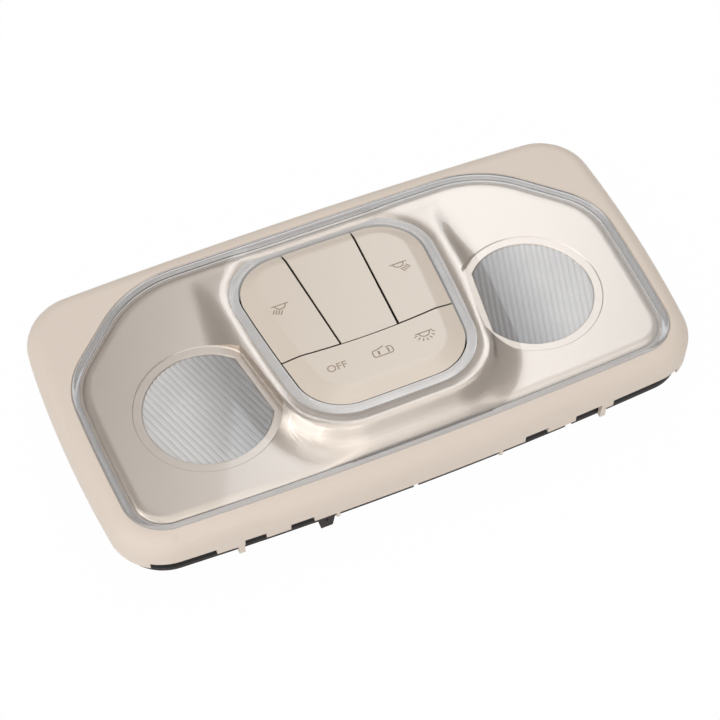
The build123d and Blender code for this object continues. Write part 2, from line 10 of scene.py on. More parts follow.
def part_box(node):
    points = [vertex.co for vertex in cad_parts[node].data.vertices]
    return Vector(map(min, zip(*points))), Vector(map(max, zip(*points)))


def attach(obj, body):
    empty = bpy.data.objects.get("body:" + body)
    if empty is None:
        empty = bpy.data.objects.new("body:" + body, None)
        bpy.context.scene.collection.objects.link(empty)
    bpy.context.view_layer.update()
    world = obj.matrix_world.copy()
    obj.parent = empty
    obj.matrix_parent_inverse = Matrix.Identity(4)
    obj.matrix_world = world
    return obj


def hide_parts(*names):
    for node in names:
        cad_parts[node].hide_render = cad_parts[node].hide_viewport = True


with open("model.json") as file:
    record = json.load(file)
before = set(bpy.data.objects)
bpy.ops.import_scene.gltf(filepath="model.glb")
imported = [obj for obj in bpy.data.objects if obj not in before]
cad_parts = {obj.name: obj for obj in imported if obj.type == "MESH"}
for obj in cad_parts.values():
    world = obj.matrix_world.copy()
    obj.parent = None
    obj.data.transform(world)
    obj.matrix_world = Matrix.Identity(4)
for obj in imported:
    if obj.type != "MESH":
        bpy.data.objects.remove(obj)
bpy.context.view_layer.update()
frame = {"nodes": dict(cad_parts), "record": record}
mm = 0.001
print("frame loaded:", len(frame["nodes"]), "nodes")


class Wire:                                     # a shader socket that takes part in sums
    def __init__(self, shade, socket):
        self.shade = shade
        self.socket = socket

    def math(self, operation, first, second):
        return self.shade.add("Math", {"operation": operation}, {0: first, 1: second})

    def __add__(self, other):
        return self.math("ADD", self, other)

    def __radd__(self, other):
        return self.math("ADD", other, self)

    def __sub__(self, other):
        return self.math("SUBTRACT", self, other)

    def __mul__(self, other):
        return self.math("MULTIPLY", self, other)

    def __rmul__(self, other):
        return self.math("MULTIPLY", other, self)

    def pick(self, name):                       # another output of the same node
        return Wire(self.shade, self.socket.node.outputs[name])


class Shade:                                    # the nodes of one material, or of the world
    def __init__(self, tree):
        self.tree = tree
        tree.nodes.clear()

    def add(self, kind, settings=None, sockets=None):
        node = self.tree.nodes.new("ShaderNode" + kind)
        for name, value in (settings or {}).items():
            if name == "stops":
                self.setStops(node, value)
            else:
                setattr(node, name, value)
        for name, value in (sockets or {}).items():
            if isinstance(value, Wire):
                self.tree.links.new(value.socket, node.inputs[name])
            else:
                node.inputs[name].default_value = value
        return Wire(self, node.outputs[0]) if node.outputs else None

    def setStops(self, node, stops):
        elements = node.color_ramp.elements
        elements.remove(elements[1])
        elements[0].position, elements[0].color = stops[0]
        for place, colour in stops[1:]:
            elements.new(place).color = colour

    def along(self, axis):                      # one of the object coordinates
        place = self.add("TexCoord").pick("Object")
        return self.add("SeparateXYZ", None, {0: place}).pick(axis)

    def spots(self, scale, detail=2.0):         # noise on object coordinates, about 0 to 1
        place = self.add("TexCoord").pick("Object")
        return self.add("TexNoise", None, {"Vector": place, "Scale": scale, "Detail": detail})

    def blend(self, factor, first, second):     # two colours
        return self.add("Mix", {"data_type": "RGBA"}, {0: factor, 6: first, 7: second}).pick(2)

    def bump(self, height, strength, distance):
        return self.add("Bump", None, {"Strength": strength, "Distance": distance, "Height": height})


def newMaterial(name):
    material = bpy.data.materials.new(name)
    material.use_nodes = True
    return material, Shade(material.node_tree)


def finishMaterial(shade, sockets):
    surface = shade.add("BsdfPrincipled", None, sockets)
    shade.add("OutputMaterial", None, {"Surface": surface})


def shades(colour, darkest):                    # a colour's dark and light ends, with alpha
    return tuple(c * darkest for c in colour) + (1.0,), tuple(colour) + (1.0,)


ivoryLook = {"colour": (0.775, 0.672, 0.58), "darkest": 0.985, "roughness": 0.5, "spread": 0.12,
             "grainScale": 2200.0, "grainDepth": 0.03 * mm, "cloudScale": 40.0, "bump": 0.25}
keyLook = {"colour": (0.758, 0.664, 0.56), "darkest": 0.985, "roughness": 0.22, "spread": 0.12, "shine": 1.0,
           "grainScale": 2600.0, "grainDepth": 0.02 * mm, "cloudScale": 60.0, "bump": 0.12}
# painted shade: a dark colour for the keys' side walls, where the slots fall into shade
keyPaintedShadeLook = {"colour": (0.075, 0.06, 0.05), "darkest": 0.9, "roughness": 0.6, "spread": 0.12,
               "grainScale": 2600.0, "grainDepth": 0.02 * mm, "cloudScale": 60.0, "bump": 0.1}
switchLook = {"colour": (0.05, 0.05, 0.055), "darkest": 0.85, "roughness": 0.4, "spread": 0.12,
              "grainScale": 1500.0, "grainDepth": 0.02 * mm, "cloudScale": 90.0, "bump": 0.2}
boardLook = {"colour": (0.02, 0.13, 0.05), "darkest": 0.75, "roughness": 0.35, "spread": 0.12,
             "grainScale": 900.0, "grainDepth": 0.02 * mm, "cloudScale": 300.0, "bump": 0.2}


def moulded(name, look):                        # grained plastic
    material, shade = newMaterial(name)
    grain = shade.spots(look["grainScale"], 3.0)
    clouds = shade.spots(look["cloudScale"])
    dark, light = shades(look["colour"], look["darkest"])
    finishMaterial(shade, {
        "Base Color": shade.blend(clouds, dark, light),
        "Roughness": look["roughness"] + look["spread"] * (grain - 0.5),
        "Specular IOR Level": look.get("shine", 0.5),
        "Normal": shade.bump(grain, look["bump"], look["grainDepth"]),
    })
    return material


metalShape = {"darkest": 0.92, "spread": 0.1, "grainDepth": 0.02 * mm}
champagneLook = {"colour": (0.75, 0.672, 0.605), "grainScale": 1800.0, "roughness": 0.34, "bump": 0.02}
steelLook = {"colour": (0.62, 0.62, 0.63), "grainScale": 900.0, "roughness": 0.32, "bump": 0.1}
brassLook = {"colour": (0.75, 0.56, 0.24), "grainScale": 900.0, "roughness": 0.3, "bump": 0.1}
reflectorLook = {"colour": (0.86, 0.86, 0.87), "grainScale": 300.0, "roughness": 0.12, "bump": 0.03}


def metal(name, look):                          # metals and metal-like coats, a little uneven
    material, shade = newMaterial(name)
    grain = shade.spots(look["grainScale"])
    dark, light = shades(look["colour"], metalShape["darkest"])
    finishMaterial(shade, {
        "Base Color": shade.blend(grain, dark, light),
        "Metallic": 1.0,
        "Roughness": look["roughness"] + metalShape["spread"] * (grain - 0.5),
        "Normal": shade.bump(grain, look["bump"], metalShape["grainDepth"]),
    })
    return material


# the lip colour is a painted highlight on the black plastic
blackLook = {"dark": (0.004, 0.0035, 0.003, 1.0), "lip": (0.04, 0.034, 0.032, 1.0), "lipTop": 17.0 * mm,
             "soft": 0.4 * mm, "roughness": 0.5, "spread": 0.12, "shine": 0.12, "grainScale": 1500.0,
             "grainDepth": 0.04 * mm, "bump": 0.3}


def blackPlastic():                             # painted highlight: paler on the lip that stands out at the foot, where it would catch the light
    material, shade = newMaterial("blackPlastic")
    grain = shade.spots(blackLook["grainScale"], 3.0)
    above = shade.add("MapRange", {"interpolation_type": "SMOOTHSTEP"},
                      {"Value": shade.along("Z"), "From Min": blackLook["lipTop"],
                       "From Max": blackLook["lipTop"] + blackLook["soft"]})
    finishMaterial(shade, {
        "Base Color": shade.blend(above, blackLook["lip"], blackLook["dark"]),
        "Roughness": blackLook["roughness"] + blackLook["spread"] * (grain - 0.5),
        "Specular IOR Level": blackLook["shine"],
        "Normal": shade.bump(grain, blackLook["bump"], blackLook["grainDepth"]),
    })
    return material


# painted light: an even grey glow on the collar's walls, for the light inside the clear plastic
collarPaintedLightLook = {"paintedTones": ((0.0, 0.78), (1.0, 0.78)), "low": 29.0 * mm, "high": 38.0 * mm,
                  "tint": (1.0, 0.985, 0.975), "streakScale": 90.0, "streaks": 0.82,
                  "metallic": 0.5, "roughness": 0.25, "glow": 0.3}
# painted light: the rim's tones paint a white highlight band and a dark line by height
rimPaintedLightLook = {"paintedTones": ((0.0, 0.55), (0.3, 0.62), (0.36, 0.95), (0.54, 0.95), (0.6, 0.2), (0.74, 0.2),
                         (0.84, 0.4)),
               "low": 29.4 * mm, "high": 33.5 * mm, "tint": (1.0, 1.0, 1.01), "streakScale": 60.0,
               "streaks": 0.85, "metallic": 0.4, "roughness": 0.18, "glow": 0.16}


def paintedLightWalls(name, look):                     # painted light: the plastic's own walls, coloured and glowing to stand in for the light inside it
    material, shade = newMaterial(name)
    level = shade.add("MapRange", None,
                      {"Value": shade.along("Z"), "From Min": look["low"], "From Max": look["high"]})
    stops = [(place, tuple(tone * c for c in look["tint"]) + (1.0,)) for place, tone in look["paintedTones"]]
    clean = shade.add("ValToRGB", {"stops": stops}, {0: level})
    streaks = shade.spots(look["streakScale"], 1.0)
    tone = shade.add("Mix", {"data_type": "RGBA", "blend_type": "MULTIPLY"},
                     {0: streaks, 6: clean, 7: (look["streaks"],) * 3 + (1.0,)}).pick(2)
    finishMaterial(shade, {
        "Base Color": tone,
        "Metallic": look["metallic"],
        "Roughness": look["roughness"],
        # painted light: the walls glow, though they are no lamp
        "Emission Color": tone,
        "Emission Strength": look["glow"],
    })
    return material


clearLook = {"colour": (0.985, 0.98, 0.97, 1.0), "roughness": 0.03, "spread": 0.02, "spotScale": 600.0,
             "ior": 1.49, "clearness": 1.0}
bulbLook = {"colour": (0.96, 0.95, 0.92, 1.0), "roughness": 0.05, "spread": 0.03, "spotScale": 500.0,
            "ior": 1.5, "clearness": 0.6}


def glassy(name, look):                         # clear plastic and bulb glass
    material, shade = newMaterial(name)
    finishMaterial(shade, {
        "Base Color": look["colour"],
        "Roughness": look["roughness"] + look["spread"] * shade.spots(look["spotScale"]),
        "IOR": look["ior"],
        "Transmission Weight": look["clearness"],
    })
    return material


# the darker lens tone is painted shade, laid on the lens's side towards the keys
lensLook = {"inner": (0.32, 0.315, 0.32, 1.0), "outer": (0.665, 0.655, 0.65, 1.0), "near": 46 * mm,
            "far": 72 * mm, "least": 0.7, "cloudy": 0.5, "cloudScale": 60.0, "roughness": 0.3,
            "spread": 0.1, "ior": 1.49, "coat": 0.5, "coatRoughness": 0.15}


def frostedLens():                              # painted shade: darker towards the keys, where less light comes back
    material, shade = newMaterial("frostedLens")
    outwards = shade.add("Math", {"operation": "ABSOLUTE"}, {0: shade.along("X")})
    light = shade.add("MapRange", {"interpolation_type": "SMOOTHSTEP"},
                      {"Value": outwards, "From Min": lensLook["near"], "From Max": lensLook["far"]})
    clouds = shade.spots(lensLook["cloudScale"])
    litShare = light * (lensLook["least"] + lensLook["cloudy"] * clouds)
    finishMaterial(shade, {
        "Base Color": shade.blend(litShare, lensLook["inner"], lensLook["outer"]),
        "Roughness": lensLook["roughness"] + lensLook["spread"] * (clouds - 0.5),
        "IOR": lensLook["ior"],
        "Coat Weight": lensLook["coat"],
        "Coat Roughness": lensLook["coatRoughness"],
    })
    return material


finishes = {
    "ivory_plastic": moulded("ivoryPlastic", ivoryLook),
    "key_plastic": moulded("keyPlastic", keyLook),
    "clear_plastic": glassy("clearPlastic", clearLook),
    "champagne_satin": metal("champagneSatin", champagneLook),
    "frosted_lens": frostedLens(),
    "black_plastic": blackPlastic(),
    "switch_plastic": moulded("switchPlastic", switchLook),
    "board": moulded("boardGreen", boardLook),
    "steel": metal("zincSteel", steelLook),
    "brass": metal("contactBrass", brassLook),
    "reflector": metal("brightReflector", reflectorLook),
    "bulb_glass": glassy("bulbGlass", bulbLook),
}
keyPaintedShade = moulded("keyPaintedShade", keyPaintedShadeLook)
collarPaintedLight = paintedLightWalls("collarPaintedLight", collarPaintedLightLook)
rimPaintedLight = paintedLightWalls("rimPaintedLight", rimPaintedLightLook)
print("materials made:", len(finishes) + 3)

slotOf = {entry["node"]: entry["material_slot"] for entry in frame["record"]["subparts"]}
bodyOf = {node: body for body, nodes in frame["record"]["behaviour"]["bodies"].items() for node in nodes}

meshCare = {"merge": 0.002 * mm, "onPlane": 1e-7, "sameLevel": 1e-6,     # how near, in metres
            "flat": 0.3, "outline": 1.5}                                # how flat, in degrees
upwards = Vector((0, 0, 1))
farOff = 20 * mm                                # clear of the face, above or below
skyHigh = 100 * mm                              # rays come down from here


def mergedCopy(node):                           # a node's mesh, joined up
    bm = bmesh.new()
    bm.from_mesh(frame["nodes"][node].data)
    bmesh.ops.remove_doubles(bm, verts=bm.verts, dist=meshCare["merge"])
    return bm


def flatten(bm, angle):                         # flat areas and straight runs made whole
    bmesh.ops.dissolve_limit(bm, angle_limit=math.radians(angle), verts=bm.verts, edges=bm.edges)


def solidCopy(node):
    bm = mergedCopy(node)
    flatten(bm, meshCare["flat"])
    return bm


def roundOff(bm, edges, width, segments):
    bmesh.ops.bevel(bm, geom=edges, offset=width, segments=segments, profile=0.5, affect="EDGES",
                    clamp_overlap=True, material=-1)


def meshObject(bm, name):                       # an object of a bmesh, which is used up
    mesh = bpy.data.meshes.new(name)
    bm.to_mesh(mesh)
    bm.free()
    made = bpy.data.objects.new(name, mesh)
    bpy.context.scene.collection.objects.link(made)
    return made


def addPiece(bm, name, node, others=(), smoothAngle=32.0):      # a finished piece in place of a node
    piece = meshObject(bm, name)
    mesh = piece.data
    if mesh.has_custom_normals:                 # the node's own normals don't fit the new faces
        mesh.attributes.remove(mesh.attributes["custom_normal"])
    mesh.shade_smooth()
    mesh.set_sharp_from_angle(angle=math.radians(smoothAngle))
    for material in (finishes[slotOf[node]], *others):
        mesh.materials.append(material)
    even = piece.modifiers.new("evenNormals", "WEIGHTED_NORMAL")
    even.keep_sharp = True
    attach(piece, bodyOf[node])
    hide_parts(node)
    return piece


def dropObject(helper):
    data = helper.data
    bpy.data.objects.remove(helper)
    if isinstance(data, bpy.types.Mesh):
        bpy.data.meshes.remove(data)
    else:
        bpy.data.curves.remove(data)


def joined(bm, other):                          # a second mesh in the same one
    mesh = bpy.data.meshes.new("joined")
    other.to_mesh(mesh)
    other.free()
    bm.from_mesh(mesh)
    bpy.data.meshes.remove(mesh)
    return bm


def carve(bm, toolMesh, operation):             # one boolean step, both meshes used up
    target, tool = meshObject(bm, "carved"), meshObject(toolMesh, "carver")
    step = target.modifiers.new("carve", "BOOLEAN")
    step.operation, step.object, step.solver = operation, tool, "EXACT"
    bpy.context.view_layer.update()
    result = bmesh.new()
    result.from_object(target, bpy.context.evaluated_depsgraph_get())
    result.normal_update()
    dropObject(target)
    dropObject(tool)
    return result


keyPlane = {"origin": (0.0, 5.480 * mm, 35.297 * mm), "lean": 4.859,    # the keys' plane, leaning back
            "cut": 3.0 * mm, "wallTurn": 0.3}
keyPlace = Matrix.Translation(keyPlane["origin"]) @ Matrix.Rotation(math.radians(-keyPlane["lean"]), 4, "X")
keyNormal = keyPlace.to_3x3() @ upwards


def joinedGroups(edges):                        # edges sorted into loops, as sets of vertices
    groups = []
    for edge in edges:
        ends = set(edge.verts)
        touching = [g for g in groups if g & ends]
        groups = [g for g in groups if not g & ends] + [ends.union(*touching)]
    return groups


def spread(verts):
    xs, ys = [v.co.x for v in verts], [v.co.y for v in verts]
    return (max(xs) - min(xs)) * (max(ys) - min(ys))


def roundKeys(verts):                           # does a loop go round the middle of the keys
    xs, ys = [v.co.x for v in verts], [v.co.y for v in verts]
    return min(xs) < 0 < max(xs) and min(ys) < keyPlane["origin"][1] < max(ys)


def allOf(bm):
    return bm.verts[:] + bm.edges[:] + bm.faces[:]


def loopFace(node, point, normal, rank, about=roundKeys):   # a node's section, filled; rank counts by size
    bm = mergedCopy(node)
    section = bmesh.ops.bisect_plane(bm, geom=allOf(bm), dist=meshCare["onPlane"], plane_co=point,
                                     plane_no=normal)
    rims = {part for part in section["geom_cut"] if isinstance(part, bmesh.types.BMEdge)}
    loops = sorted((g for g in joinedGroups(rims) if about(g)), key=spread)
    chosen = loops[rank]
    bmesh.ops.delete(bm, geom=bm.faces[:], context="FACES_ONLY")
    bmesh.ops.delete(bm, geom=[e for e in bm.edges if e not in rims], context="EDGES")
    bmesh.ops.delete(bm, geom=[v for v in bm.verts if v not in chosen], context="VERTS")
    bmesh.ops.edgeloop_fill(bm, edges=bm.edges)
    return bm


def turnOut(bm):
    bmesh.ops.recalc_face_normals(bm, faces=bm.faces)
    return bm


def narrow(bm, amount):                         # a filled loop moved inwards, or out if negative
    rim = bmesh.ops.inset_region(bm, faces=bm.faces[:], thickness=amount, use_boundary=True,
                                 use_even_offset=True)["faces"]
    bmesh.ops.delete(bm, geom=rim, context="FACES")


def thicken(bm, normal, low, high):             # a face made a block along a normal
    bmesh.ops.translate(bm, verts=bm.verts, vec=normal * low)
    grown = bmesh.ops.extrude_face_region(bm, geom=bm.faces[:], use_keep_orig=True)["geom"]
    tops = [part for part in grown if isinstance(part, bmesh.types.BMVert)]
    bmesh.ops.translate(bm, verts=tops, vec=normal * (high - low))
    return turnOut(bm)


def upright(node, level, rank, low, high, inwards=0.0):     # a block between two levels on a loop of a node
    bm = loopFace(node, (0, 0, level), upwards, rank)
    if inwards:
        narrow(bm, inwards)
    return thicken(bm, upwards, low - level, high - level)


def keyBlock(rank, low, high, wider=0.0, rearGap=0.0):      # a block on a loop of the collar round the keys
    cut = keyPlane["cut"]
    bm = loopFace("clear_cover", keyPlace @ Vector((0, 0, -cut)), keyNormal, rank)
    if wider:                                   # not at the rear, where the rim is close
        rear = max(vert.co.y for vert in bm.verts) + rearGap
        narrow(bm, -wider)
        bmesh.ops.bisect_plane(bm, geom=allOf(bm), plane_co=(0, rear, 0), plane_no=(0, 1, 0),
                               clear_outer=True)
    return thicken(bm, keyNormal, low + cut, high + cut)


lampCut = 0.5 * mm                              # a lens's outline is taken this far above its foot


def lampBlock(lens, outwards, low, high):       # a block on the lens's outline, moved out
    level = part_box(lens)[0].z + lampCut
    bm = loopFace(lens, (0, 0, level), upwards, -1, about=lambda verts: True)
    flatten(bm, meshCare["outline"])
    narrow(bm, -outwards)
    return thicken(bm, upwards, low - level, high - level)


formLook = {"pitch": 0.75 * mm, "margin": 2.0 * mm, "softening": 7, "softness": 0.5,    # the sculpted face
            "keysHalf": 46.0 * mm, "keysDeep": 41.0 * mm, "keysRear": 50.6 * mm, "lipHeight": 0.4 * mm,
            "leans": ((0, 0), (33, 0.1), (36, 0.11), (42, 0.165), (47, 0.165), (85, 0)), "leanAt": -4.0 * mm,
            "leanReach": 42.0 * mm, "wingX": 95 * mm, "wingY": 10 * mm}


def wingHeight(node):                           # the flat level out on the wings
    source = mergedCopy(node)
    start = Vector((formLook["wingX"], formLook["wingY"], skyHigh))
    hit = BVHTree.FromBMesh(source).ray_cast(start, -upwards)[0]
    source.free()
    return hit.z


def leanOf(x):                                  # the slant of the sheet's lines, along the keys and lamps
    for (near, first), (far, last) in zip(formLook["leans"], formLook["leans"][1:]):
        if near * mm <= abs(x) < far * mm:
            return math.copysign(first + (last - first) * (abs(x) / mm - near) / (far - near), x)
    return 0.0


def slantedSheet():                             # a fine flat sheet that covers the face
    low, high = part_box("clear_cover")
    size = high - low + Vector((2, 2, 0)) * formLook["margin"]
    bm = bmesh.new()
    bmesh.ops.create_grid(bm, x_segments=round(size.x / formLook["pitch"]),
                          y_segments=round(size.y / formLook["pitch"]), size=0.5)
    bmesh.ops.scale(bm, verts=bm.verts, vec=(size.x, size.y, 1))
    bmesh.ops.translate(bm, verts=bm.verts, vec=((low.x + high.x) / 2, (low.y + high.y) / 2, 0))
    for vert in bm.verts:
        along = max(-formLook["leanReach"], min(formLook["leanReach"], vert.co.y - formLook["leanAt"]))
        vert.co.x += leanOf(vert.co.x) * along
    return bm


def makeForm():                                 # the sheet laid on the cover, its ridge softened
    bm = slantedSheet()
    wing = wingHeight("clear_cover")
    source, collar = mergedCopy("clear_cover"), keyBlock(1, -farOff, farOff)
    tree, collarTree = BVHTree.FromBMesh(source), BVHTree.FromBMesh(collar)
    origin = Vector(keyPlane["origin"])
    for vert in bm.verts:
        x, y = vert.co.x, vert.co.y
        overKeys = abs(x) < formLook["keysHalf"] and y < formLook["keysRear"]
        hit = tree.ray_cast(Vector((x, y, skyHigh)), -upwards)[0]
        lip = origin.z + (formLook["lipHeight"] - keyNormal.y * (y - origin.y)) / keyNormal.z
        near, normal = collarTree.find_nearest(Vector((x, y, lip)))[:2]
        if (Vector((x, y, lip)) - near).dot(normal) < 0:    # the lip runs on over the keys
            vert.co.z = lip if hit is None else max(hit.z, lip)
        elif hit is None:
            vert.co.z = wing
        else:
            vert.co.z = hit.z if overKeys else max(hit.z, wing)
    source.free()
    collar.free()
    for _ in range(formLook["softening"]):
        bmesh.ops.smooth_vert(bm, verts=bm.verts, factor=formLook["softness"], use_axis_z=True)
    return bm


def layer(form, drop, thickness):               # a sheet of one thickness under the form
    bm = form.copy()
    bmesh.ops.translate(bm, verts=bm.verts, vec=(0, 0, -drop))
    return thicken(bm, upwards, -thickness, 0)


panelShape = {"sheet": 1.6 * mm, "deep": 14 * mm, "opening": 1.65 * mm, "rearGap": 0.15 * mm,
              "footCut": 0.5 * mm, "rollRadius": 4.5 * mm, "rollWidth": 3.2 * mm, "rollMost": 0.95,
              "collarOut": 1.4 * mm, "collarWall": 2.6 * mm, "collarSink": 0.05 * mm,
              "collarDrop": 0.35 * mm, "collarWidth": 2.8 * mm, "collarLead": 0.12 * mm,
              "collarSlope": 0.5 * mm, "windowEdge": 0.3 * mm, "shaft": 10 * mm, "smoothAngle": 36.0}


def windowCutter(lens, level, high):            # a shallow step and the lamp window in its floor
    lead, slope, drop = panelShape["collarLead"], panelShape["collarSlope"], panelShape["collarDrop"]
    flat, edge = panelShape["collarWidth"], panelShape["windowEdge"]
    bm = lampBlock(lens, panelShape["collarOut"] + slope, level + lead, high)
    floor = min(bm.faces, key=lambda f: f.calc_center_median().z)
    for thickness, depth in ((slope, lead + drop), (flat, 0), (edge, edge)):
        bmesh.ops.inset_region(bm, faces=[floor], thickness=thickness, depth=depth, use_boundary=True,
                               use_even_offset=True)
    shaft = bmesh.ops.extrude_discrete_faces(bm, faces=[floor])["faces"]
    bmesh.ops.translate(bm, verts=shaft[0].verts[:], vec=(0, 0, -panelShape["shaft"]))
    return turnOut(bm)


def rolledForm(form, wall):                     # the form with its border rolled down towards the edge
    bm = form.copy()
    tree = BVHTree.FromBMesh(wall)
    radius = panelShape["rollRadius"]
    for vert in bm.verts:
        near, normal, _, gap = tree.find_nearest(vert.co)
        inside = gap if (vert.co - near).dot(normal) < 0 else -gap
        over = min(panelShape["rollWidth"] - inside, panelShape["rollMost"] * radius)
        if over > 0:
            vert.co.z -= radius - math.sqrt(radius ** 2 - over ** 2)
    return bm


def makePanel(form):
    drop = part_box("clear_cover")[1].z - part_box("trim_panel")[1].z
    level, foot = wingHeight("trim_panel"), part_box("trim_panel")[0].z
    high, footCut = level + farOff, foot + panelShape["footCut"]
    lenses = ("map_lens_left", "map_lens_right")
    outline = upright("trim_panel", footCut, -1, foot, high)
    rolled = rolledForm(form, outline)
    under = layer(rolled, drop + panelShape["sheet"], panelShape["deep"])
    inside = upright("trim_panel", footCut, -2, foot - farOff, high)
    under = carve(under, inside, "INTERSECT")
    solidFrom = level - panelShape["sheet"] - panelShape["collarSink"]      # solid round the windows
    surrounds = [lampBlock(lens, panelShape["collarWall"], solidFrom, high) for lens in lenses]
    under = carve(under, joined(*surrounds), "DIFFERENCE")
    panel = carve(layer(rolled, drop, panelShape["deep"]), outline, "INTERSECT")
    panel = carve(panel, under, "DIFFERENCE")
    opening = keyBlock(1, -farOff, farOff, panelShape["opening"], panelShape["rearGap"])
    panel = carve(panel, opening, "DIFFERENCE")
    panel = carve(panel, joined(*[windowCutter(lens, level, high) for lens in lenses]), "DIFFERENCE")
    rolled.free()
    return panel


coverShape = {"sheet": 2.3 * mm, "rimDepth": 5.3 * mm, "rimCut": 3.3 * mm, "rimSpare": 5 * mm,
              "edgeRound": 1.2 * mm, "lap": 1.3 * mm, "sink": 0.01 * mm, "collarLow": -4.5 * mm,
              "collarHigh": 0.35 * mm, "collarWider": 1.5 * mm, "footReach": 0.1 * mm, "footGap": 0.05 * mm,
              "wallTurn": 0.05, "rimFootTurn": 0.9, "collarFootTurn": 0.999, "edgeSteps": 4,
              "smoothAngle": 40.0}


def coverRim(wing):                             # the rim, its upper edge rounded
    level, low = wing - coverShape["rimCut"], wing - coverShape["rimDepth"]
    bm = upright("clear_cover", level, -1, low, wing - coverShape["sink"])
    top = max(vert.co.z for vert in bm.verts)
    edges = [e for e in bm.edges if all(vert.co.z > top - meshCare["sameLevel"] for vert in e.verts)]
    roundOff(bm, edges, coverShape["edgeRound"], coverShape["edgeSteps"])
    spare = coverShape["rimSpare"]
    return carve(bm, upright("clear_cover", level, -2, low - spare, wing + spare), "DIFFERENCE")


def markWalls(cover, wing):                     # the walls and feet take the painted-light materials, to show as bright cut edges
    footLevel = wing - coverShape["rimDepth"] + coverShape["footReach"]
    origin, wallTurn = Vector(keyPlane["origin"]), coverShape["wallTurn"]
    for face in cover.faces:
        middle = face.calc_center_median()
        depth, turn = (middle - origin).dot(keyNormal), face.normal.dot(keyNormal)
        atFoot = abs(depth - coverShape["collarLow"]) < coverShape["footGap"]
        collarFoot = atFoot and turn < -coverShape["collarFootTurn"]
        rimFoot = middle.z < footLevel and face.normal.z < -coverShape["rimFootTurn"]
        collarWall, rimWall = abs(turn) < wallTurn, abs(face.normal.z) < wallTurn
        nearKeys = abs(middle.x) < formLook["keysHalf"] and abs(middle.y - origin.y) < formLook["keysDeep"]
        if collarFoot or (nearKeys and collarWall):
            face.material_index = 1
        elif rimFoot or (rimWall and not nearKeys):
            face.material_index = 2


def makeCover(form):
    wing = wingHeight("clear_cover")
    level = wing - coverShape["rimCut"]
    lap = upright("clear_cover", level, -1, wing - farOff, wing + farOff, coverShape["lap"])
    cover = carve(layer(form, 0, coverShape["sheet"]), lap, "INTERSECT")
    collar = keyBlock(1, coverShape["collarLow"], coverShape["collarHigh"], coverShape["collarWider"])
    cover = carve(cover, collar, "UNION")
    cover = carve(cover, keyBlock(0, -farOff, farOff), "DIFFERENCE")
    cover = carve(cover, coverRim(wing), "UNION")
    markWalls(cover, wing)
    return cover


lensPad = {"inset": 1.78 * mm, "rise": 1.2 * mm, "below": 1.5 * mm, "above": 1.0 * mm}


def raisedLens(node):                           # its middle stands up in the window
    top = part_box(node)[1].z
    window = lampBlock(node, -lensPad["inset"], top - lensPad["below"], top + lensPad["above"])
    pad = carve(mergedCopy(node), window, "INTERSECT")
    bmesh.ops.translate(pad, verts=pad.verts, vec=(0, 0, lensPad["rise"]))
    return carve(mergedCopy(node), pad, "UNION")


edgeRounds = {                                  # width in mm of the moulded round on each node's edges
    "bezel": 0.25, "map_button_left": 0.2, "map_button_right": 0.2, "centre_blank": 0.2, "mode_rocker": 0.2,
    "rear_housing": 0.3, "switch_carrier": 0.2, "roof_clips": 0.1,
}
roundShape = {"from": 40.0, "steps": 2}         # edges that turn fewer degrees stay as they are


def roundEdges(bm, width):
    sharp = math.radians(roundShape["from"])
    edges = [e for e in bm.edges if len(e.link_faces) == 2 and e.calc_face_angle() > sharp]
    roundOff(bm, edges, width, roundShape["steps"])


form = makeForm()
print("face form laid:", len(form.verts), "points")
addPiece(makePanel(form), "trimPanel", "trim_panel", smoothAngle=panelShape["smoothAngle"])
print("panel made")
cover = addPiece(makeCover(form), "clearCover", "clear_cover", (collarPaintedLight, rimPaintedLight),
                 coverShape["smoothAngle"])
cover.visible_shadow = False
cover.visible_diffuse = False
form.free()
print("cover made")
for node in frame["nodes"]:
    if node in ("trim_panel", "clear_cover"):
        continue
    copyMesh = raisedLens(node) if slotOf[node] == "frosted_lens" else solidCopy(node)
    if node in edgeRounds:
        roundEdges(copyMesh, edgeRounds[node] * mm)
    isKey = slotOf[node] == "key_plastic"
    if isKey:                                   # painted shade: the walls in the slots are dark, as the slots lie in shade
        for face in copyMesh.faces:
            face.material_index = 1 if face.normal.dot(keyNormal) < keyPlane["wallTurn"] else 0
    addPiece(copyMesh, node + "Piece", node, (keyPaintedShade,) if isKey else ())
print("pieces made")


inkLook = {"colour": (0.42, 0.325, 0.24), "darkest": 0.85, "cloudScale": 900.0, "roughness": 0.5,
           "spread": 0.1, "line": 0.44 * mm, "flat": 0.12, "lift": 0.012 * mm, "letters": 4.29 * mm}


def inkMaterial():
    material, shade = newMaterial("markInk")
    clouds = shade.spots(inkLook["cloudScale"])
    dark, light = shades(inkLook["colour"], inkLook["darkest"])
    finishMaterial(shade, {
        "Base Color": shade.blend(clouds, dark, light),
        "Roughness": inkLook["roughness"] + inkLook["spread"] * (clouds - 0.5),
    })
    return material


markInk = inkMaterial()


def strokeMesh(strokes, width=inkLook["line"]):     # lines drawn flat, in millimetres, as a thin mesh
    curve = bpy.data.curves.new("strokes", "CURVE")
    curve.dimensions = "3D"
    curve.bevel_depth = width / 2
    curve.bevel_resolution = 1
    curve.use_fill_caps = True
    for points in strokes:
        spline = curve.splines.new("POLY")
        spline.points.add(len(points) - 1)
        for spot, (x, y) in zip(spline.points, points):
            spot.co = (x * mm, y * mm, 0, 1)
    return curveMesh(curve)


def letterMesh(words):
    curve = bpy.data.curves.new("letters", "FONT")
    curve.body = words
    curve.size = inkLook["letters"]
    curve.align_x, curve.align_y = "CENTER", "CENTER"
    curve.extrude = inkLook["line"] / 2
    return curveMesh(curve)


